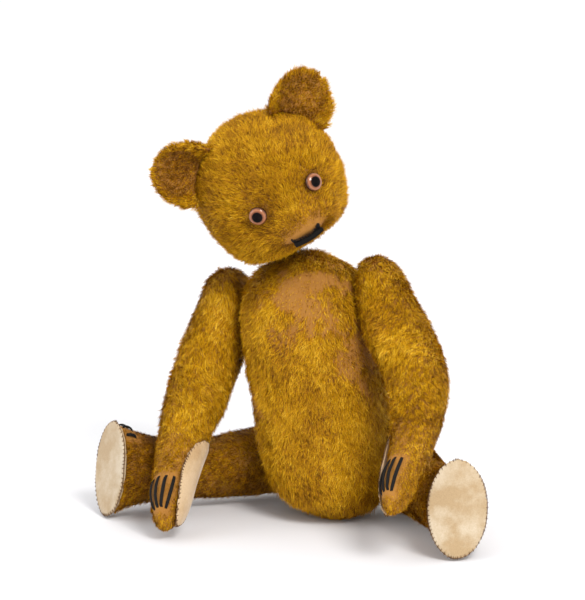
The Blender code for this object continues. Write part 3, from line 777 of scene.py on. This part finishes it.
def ear_field(skin, side, seed):
    head = np.array(middle("head_stuffing"))
    ear = np.array(middle(f"{side}_ear"))
    out = unit(ear - head)

    def flow(points):
        return unit(points - ear) * 0.5 + out

    field = base_field(skin, flow, "ear", seed)
    eyes = np.array((middle("left_eye_glass") + middle("right_eye_glass")) / 2)
    facing = normals_of(skin.data) @ unit(eyes - head)
    centre, axes = main_axes(field["points"])
    away = np.linalg.norm((field["points"] - centre) @ axes[:2].T, axis=1)
    rim = ramp(0.50, 0.82, away / away.max())
    inner = ramp(0.1, 0.6, facing) * (1 - rim)
    # The whole ear's pile a little lighter; painted shade inside the cup, away from the rim, where the pile
    # is darker and takes the worn tones.
    field["tone"] += 0.12 - 0.40 * inner
    field["length"] *= 1 - 0.45 * inner + 0.35 * rim
    field["lift"] += 0.25 * rim
    field["worn"] += 0.60 * inner
    return field


FIELDS = {"torso": torso_field, "head": head_field, "arm": arm_field, "leg": leg_field}


# ---------------------------------------------------------------- stitches, pads, eyes


def threads(name, routes, radius, material, body, slot):
    """Round threads along some routes, as one mesh, each thinner at its ends."""
    curve = bpy.data.curves.new(name, "CURVE")
    curve.dimensions = "3D"
    curve.bevel_depth = radius
    curve.bevel_resolution = 2
    curve.use_fill_caps = True
    for route in routes:
        spline = curve.splines.new("POLY")
        spline.points.add(len(route) - 1)
        for number, point in enumerate(route):
            share = number / (len(route) - 1)
            spline.points[number].co = (*point, 1)
            spline.points[number].radius = 0.45 + 0.55 * math.sin(math.pi * share) ** 0.5
    obj = link(name, curve)
    graph = bpy.context.evaluated_depsgraph_get()
    mesh = bpy.data.meshes.new_from_object(obj.evaluated_get(graph))
    bpy.data.objects.remove(obj)
    made = link(name, mesh)
    mesh.materials.append(material)
    shade_smooth(made)
    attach(made, body)
    return made


def bars_of(mesh, ring, count):
    """The centrelines of a zigzag thread's bars, from the rings of points along its surface."""
    points = points_of(mesh)
    group = np.full(len(points), -1)
    centres = []
    while (group < 0).any():
        first = points[group < 0][0]
        near = (group < 0) & (np.linalg.norm(points - first, axis=1) < ring)
        group[near] = len(centres)
        centres.append(points[near].mean(0))
    beside = {number: set() for number in range(len(centres))}
    for corners in group[triangles_of(mesh)]:
        for number in corners:
            beside[number] |= set(corners) - {number}
    route = [min(beside, key=lambda number: len(beside[number]))]
    while len(route) < len(centres):
        ahead = [number for number in beside[route[-1]] if number not in route]
        if not ahead:
            break
        route.append(ahead[0])
    return np.array_split(np.array(centres)[route], count)


def resample(line, count):
    steps = np.linalg.norm(np.diff(line, axis=0), axis=1)
    along = np.concatenate([[0], np.cumsum(steps)])
    marks = np.linspace(0, along[-1], count)
    return np.stack([np.interp(marks, along, line[:, k]) for k in range(3)], 1)


def make_claws(skins, material):
    """Four claws on each paw and foot, each of three strands laid side by side."""
    for side in SIDES:
        for limb, node in (("arm", "paw_claw_thread"), ("leg", "foot_claw_thread")):
            body = f"{side}_{limb}"
            tree = tree_of(skins[body].data)
            source = nodes[f"{side}_{node}"]
            routes = []
            for bar in bars_of(source.data, CLAW_RING, CLAWS):
                line = resample(bar, CLAW_POINTS)
                spots = [tree.find_nearest(p) for p in line]
                base = np.array([s[0] for s in spots])
                up = np.array([s[1] for s in spots])
                run = unit(line[-1] - line[0])
                out = np.cross(run, up)
                arch = np.sin(np.linspace(0, math.pi, CLAW_POINTS))[:, None] ** 0.5
                for lane in (-1, 0, 1):
                    height = CLAW_HEIGHT - 0.3 * MM * abs(lane)
                    lift = up * (-CLAW_SINK + (height + CLAW_SINK) * arch)
                    routes.append(base + lift + out * lane * CLAW_LANE)
            made = threads(f"{side}_{limb}_claws", routes, CLAW_THREAD, material, body, "thread")
            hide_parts(f"{side}_{node}")


def make_nose(skins, material):
    """Satin stitches side by side over the nose, each running a little way up the skin."""
    source = nodes["nose_stitching"].data
    points = points_of(source)
    centre, axes = main_axes(points)
    wide, tall, out = axes
    head = np.array(middle("head_stuffing"))
    if out @ (centre - head) < 0:
        out = -out
    tree = tree_of(source)
    skin = tree_of(skins["head"].data)
    toward_eyes = np.array((middle("left_eye_glass") + middle("right_eye_glass")) / 2) - centre
    toward_eyes = unit(toward_eyes - wide * (toward_eyes @ wide))
    reach = np.abs((points - centre) @ wide).max()
    routes = []
    lanes = int(reach * 2 / NOSE_LANE)
    for lane in range(lanes + 1):
        across = (lane / lanes * 2 - 1) * reach * 0.99
        line = []
        for step in np.linspace(-9, 9, 40) * MM:
            start = centre + wide * across + tall * step + out * 10 * MM
            spot = tree.ray_cast(start, -out, 16 * MM)[0]
            if spot is not None:
                line.append(np.array(spot) + out * 1.0 * MM)
        if len(line) > 2:
            if (line[-1] - line[0]) @ toward_eyes < 0:
                line = line[::-1]
            rise = NOSE_RISE * (1 - 0.35 * abs(across) / reach)
            for _ in range(NOSE_RISE_STEPS):
                spot, normal, _, _ = skin.find_nearest(line[-1] + toward_eyes * rise / NOSE_RISE_STEPS)
                line.append(np.array(spot) + np.array(normal) * 1.3 * MM)
            ends = [line[0] - out * NOSE_TUCK, line[-1] - np.array(normal) * NOSE_TUCK]
            routes.append([ends[0], *line, ends[1]])
    made = threads("nose_satin", routes, NOSE_THREAD, material, "head", "thread")
    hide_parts("nose_stitching")


def make_pad(node, body, material):
    obj = joined(f"{node}_felt", (node,))
    remesh(obj, PAD_VOXEL)
    smooth(obj, 3)
    shade_smooth(obj)
    obj.data.materials.append(material)
    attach(obj, body)
    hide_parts(node)
    return obj


def turned(name, profile, segments):
    """A surface of revolution about Z from (radius, height) points, the first on the axis."""
    shape = bmesh.new()
    rings = []
    for radius, height in profile:
        if radius == 0:
            rings.append([shape.verts.new((0, 0, height))])
            continue
        angles = [2 * math.pi * k / segments for k in range(segments)]
        rings.append([shape.verts.new((radius * math.cos(a), radius * math.sin(a), height)) for a in angles])
    for upper, lower in zip(rings, rings[1:]):
        for k in range(segments):
            after = (k + 1) % segments
            if len(upper) == 1:
                shape.faces.new((upper[0], lower[k], lower[after]))
            elif len(lower) == 1:
                shape.faces.new((upper[after], upper[k], lower[0]))
            else:
                shape.faces.new((upper[k], lower[k], lower[after], upper[after]))
    mesh = bpy.data.meshes.new(name)
    shape.to_mesh(mesh)
    shape.free()
    return link(name, mesh)


def dome(radius, height, low, edge, steps=14):
    """(radius, height) points of a dome from its crown out to an edge radius."""
    made = []
    for k in range(steps + 1):
        away = edge * k / steps
        made.append((away, low + height * math.sqrt(max(0.0, 1 - (away / radius) ** 2))))
    return made


def make_rim(pad, skin, body, material):
    """The sewn edge of a felt pad: a cord laid round it, crossed by short stitches."""
    points = points_of(pad.data)
    centre, axes = main_axes(points)
    out = axes[2]
    if tree_of(skin.data).find_nearest(centre)[1] @ Vector(out) < 0:
        out = -out
    across = (points - centre) @ axes[0]
    along = (points - centre) @ axes[1]
    turn = np.arctan2(along, across)
    away = np.hypot(along, across)
    loop = []
    for angle in np.linspace(-math.pi, math.pi, RIM_STITCHES, endpoint=False):
        gap = np.abs((turn - angle + math.pi) % (2 * math.pi) - math.pi)
        loop.append(points[np.argmax(np.where(gap < 0.15, away, 0))])
    loop = np.array(loop)
    for _ in range(3):
        loop = (np.roll(loop, 1, 0) + 2 * loop + np.roll(loop, -1, 0)) / 4
    outward = unit(loop - centre)
    cord = loop + outward * 0.2 * MM
    cord = [*cord, cord[0], cord[1]]
    stitches = []
    for place, side in zip(loop, outward):
        inner = place - side * 1.3 * MM + out * 0.5 * MM
        top = place + out * 0.75 * MM
        outer = place + side * 1.1 * MM - out * 0.3 * MM
        stitches.append([inner, top, outer])
    threads(f"{pad.name}_rim", [cord, *stitches], RIM_THREAD, material, body, "thread")


def make_eyes():
    """A glass dome with a painted iris, and a black cap on it for the pupil."""
    radius = EYE_RADIUS
    iris = iris_material(radius)
    black = pupil_material()
    head = np.array(middle("head_stuffing"))
    for side in SIDES:
        points = points_of(nodes[f"{side}_eye_glass"].data)
        centre, axes = main_axes(points)
        axis = axes[2]
        if axis @ (centre - head) < 0:
            axis = -axis
        reach = (points - centre) @ axis
        base = Vector(centre + axis * reach.min())
        turn = Vector(axis).to_track_quat("Z", "Y").to_matrix().to_4x4()
        place = Matrix.Translation(base) @ turn
        height = float(reach.max() - reach.min())
        rim = height * 0.3
        outer = dome(radius, height - rim, rim, radius)
        ball = turned(f"{side}_eye_amber", [*outer, (radius * 0.98, 0), (0, 0)], 48)
        cap = dome(radius, height - rim, rim + 0.12 * MM, PUPIL_RADIUS)
        skirt = (PUPIL_RADIUS, cap[-1][1] - 0.4 * MM)
        pupil = turned(f"{side}_eye_pupil_cap", [*cap, skirt, (0, rim)], 40)
        for obj, material, slot in ((ball, iris, "eye_glass"), (pupil, black, "eye_pupil")):
            obj.matrix_world = place
            obj.data.materials.append(material)
            shade_smooth(obj)
            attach(obj, "head")
        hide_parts(f"{side}_eye_glass")
        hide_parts(f"{side}_eye_pupil")


# ---------------------------------------------------------------- hidden pieces


HIDDEN = {
    "hardboard": ("disc", (0.17, 0.09, 0.04), (0.30, 0.18, 0.09), 180, 0.7, 0.0),
    "steel": ("washer cotter_pin shank", (0.30, 0.28, 0.26), (0.52, 0.50, 0.47), 260, 0.4, 1.0),
    "card": ("card", (0.36, 0.26, 0.15), (0.50, 0.39, 0.25), 120, 0.85, 0.0),
    "thread": ("stitching", (0.008, 0.007, 0.006), (0.028, 0.022, 0.018), 900, 0.6, 0.0),
}


def finish_hidden():
    """Grain for the CAD nodes that stay: discs, washers, pins, eye wires, insoles and the mouth."""
    for slot, (words, low, high, scale, roughness, metallic) in HIDDEN.items():
        material = grain_material(f"{slot}_grain", low, high, scale, roughness, metallic)
        for name, obj in nodes.items():
            if not obj.hide_render and any(name.endswith(word) for word in words.split()):
                obj.data.materials.clear()
                obj.data.materials.append(material)


# ---------------------------------------------------------------- stage


def aim_at(obj, target):
    obj.rotation_mode = "QUATERNION"
    obj.rotation_quaternion = (target - obj.location).to_track_quat("-Z", "Y")


def area_light(name, location, size, energy, colour):
    data = bpy.data.lights.new(name, "AREA")
    data.shape = "DISK"
    data.size = size
    data.energy = energy
    data.color = colour
    light = bpy.data.objects.new(name, data)
    light.location = location
    bpy.context.scene.collection.objects.link(light)
    aim_at(light, LIGHT_TARGET)


def make_stage():
    scene = bpy.context.scene
    shape = bmesh.new()
    bmesh.ops.create_grid(shape, x_segments=1, y_segments=1, size=FLOOR_SIZE)
    mesh = bpy.data.meshes.new("floor")
    shape.to_mesh(mesh)
    shape.free()
    floor = link("floor", mesh)
    made = Nodes("floor_paper")
    parts = made.add("ShaderNodeSeparateXYZ")
    made.join(made.place, parts.inputs[0])
    # Painted shade: the floor's colour darker towards the camera, with faint mottling.
    depth = made.maths("DIVIDE", made.maths("ADD", parts.outputs["Y"], FLOOR_NEAR), FLOOR_FADE)
    depth = made.maths("ADD", depth, made.maths("MULTIPLY", made.noise(9, 2), 0.08))
    colour = made.ramp(depth, FLOOR_SHADE_TONES)
    mesh.materials.append(made.finish(colour, Roughness=0.85))
    world = bpy.data.worlds.new("studio")
    world.use_nodes = True
    world.node_tree.nodes["Background"].inputs["Color"].default_value = (1, 1, 1, 1)
    world.node_tree.nodes["Background"].inputs["Strength"].default_value = WORLD_STRENGTH
    scene.world = world
    area_light("key", *KEY_LIGHT)
    area_light("fill", *FILL_LIGHT)
    scene.view_settings.view_transform = "Standard"


def make_camera():
    data = bpy.data.cameras.new("camera")
    camera = bpy.data.objects.new("camera", data)
    bpy.context.scene.collection.objects.link(camera)
    back = Vector((
        math.sin(CAMERA_AZIMUTH) * math.cos(CAMERA_ELEVATION),
        -math.cos(CAMERA_AZIMUTH) * math.cos(CAMERA_ELEVATION),
        math.sin(CAMERA_ELEVATION),
    ))
    camera.location = AIM + back * CAMERA_DISTANCE
    aim_at(camera, AIM)
    data.sensor_width = SENSOR
    data.lens = SENSOR * CAMERA_DISTANCE / PICTURE_HEIGHT
    bpy.context.scene.camera = camera


# ---------------------------------------------------------------- build


make_stage()
make_camera()
skins = make_skins()
ears = make_ears()
thread = grain_material("black_thread", (0.003, 0.0025, 0.002), (0.010, 0.008, 0.007), 1200, 0.75)
brown_thread = grain_material("brown_thread", (0.07, 0.032, 0.012), (0.16, 0.08, 0.03), 1200, 0.7)
cream_felt = felt_material("sole_felt", (0.60, 0.50, 0.365), (0.44, 0.31, 0.17), 0.40)
peach_felt = felt_material("paw_felt", (0.62, 0.45, 0.27), (0.46, 0.29, 0.13), 0.36)
for side in SIDES:
    for pad, limb, felt in (("foot_pad", "leg", cream_felt), ("paw_pad", "arm", peach_felt)):
        body = f"{side}_{limb}"
        make_rim(make_pad(f"{side}_{pad}", body, felt), skins[body], body, brown_thread)
make_claws(skins, thread)
make_nose(skins, thread)
make_eyes()
make_piles(skins, ears, pile_materials())
finish_hidden()
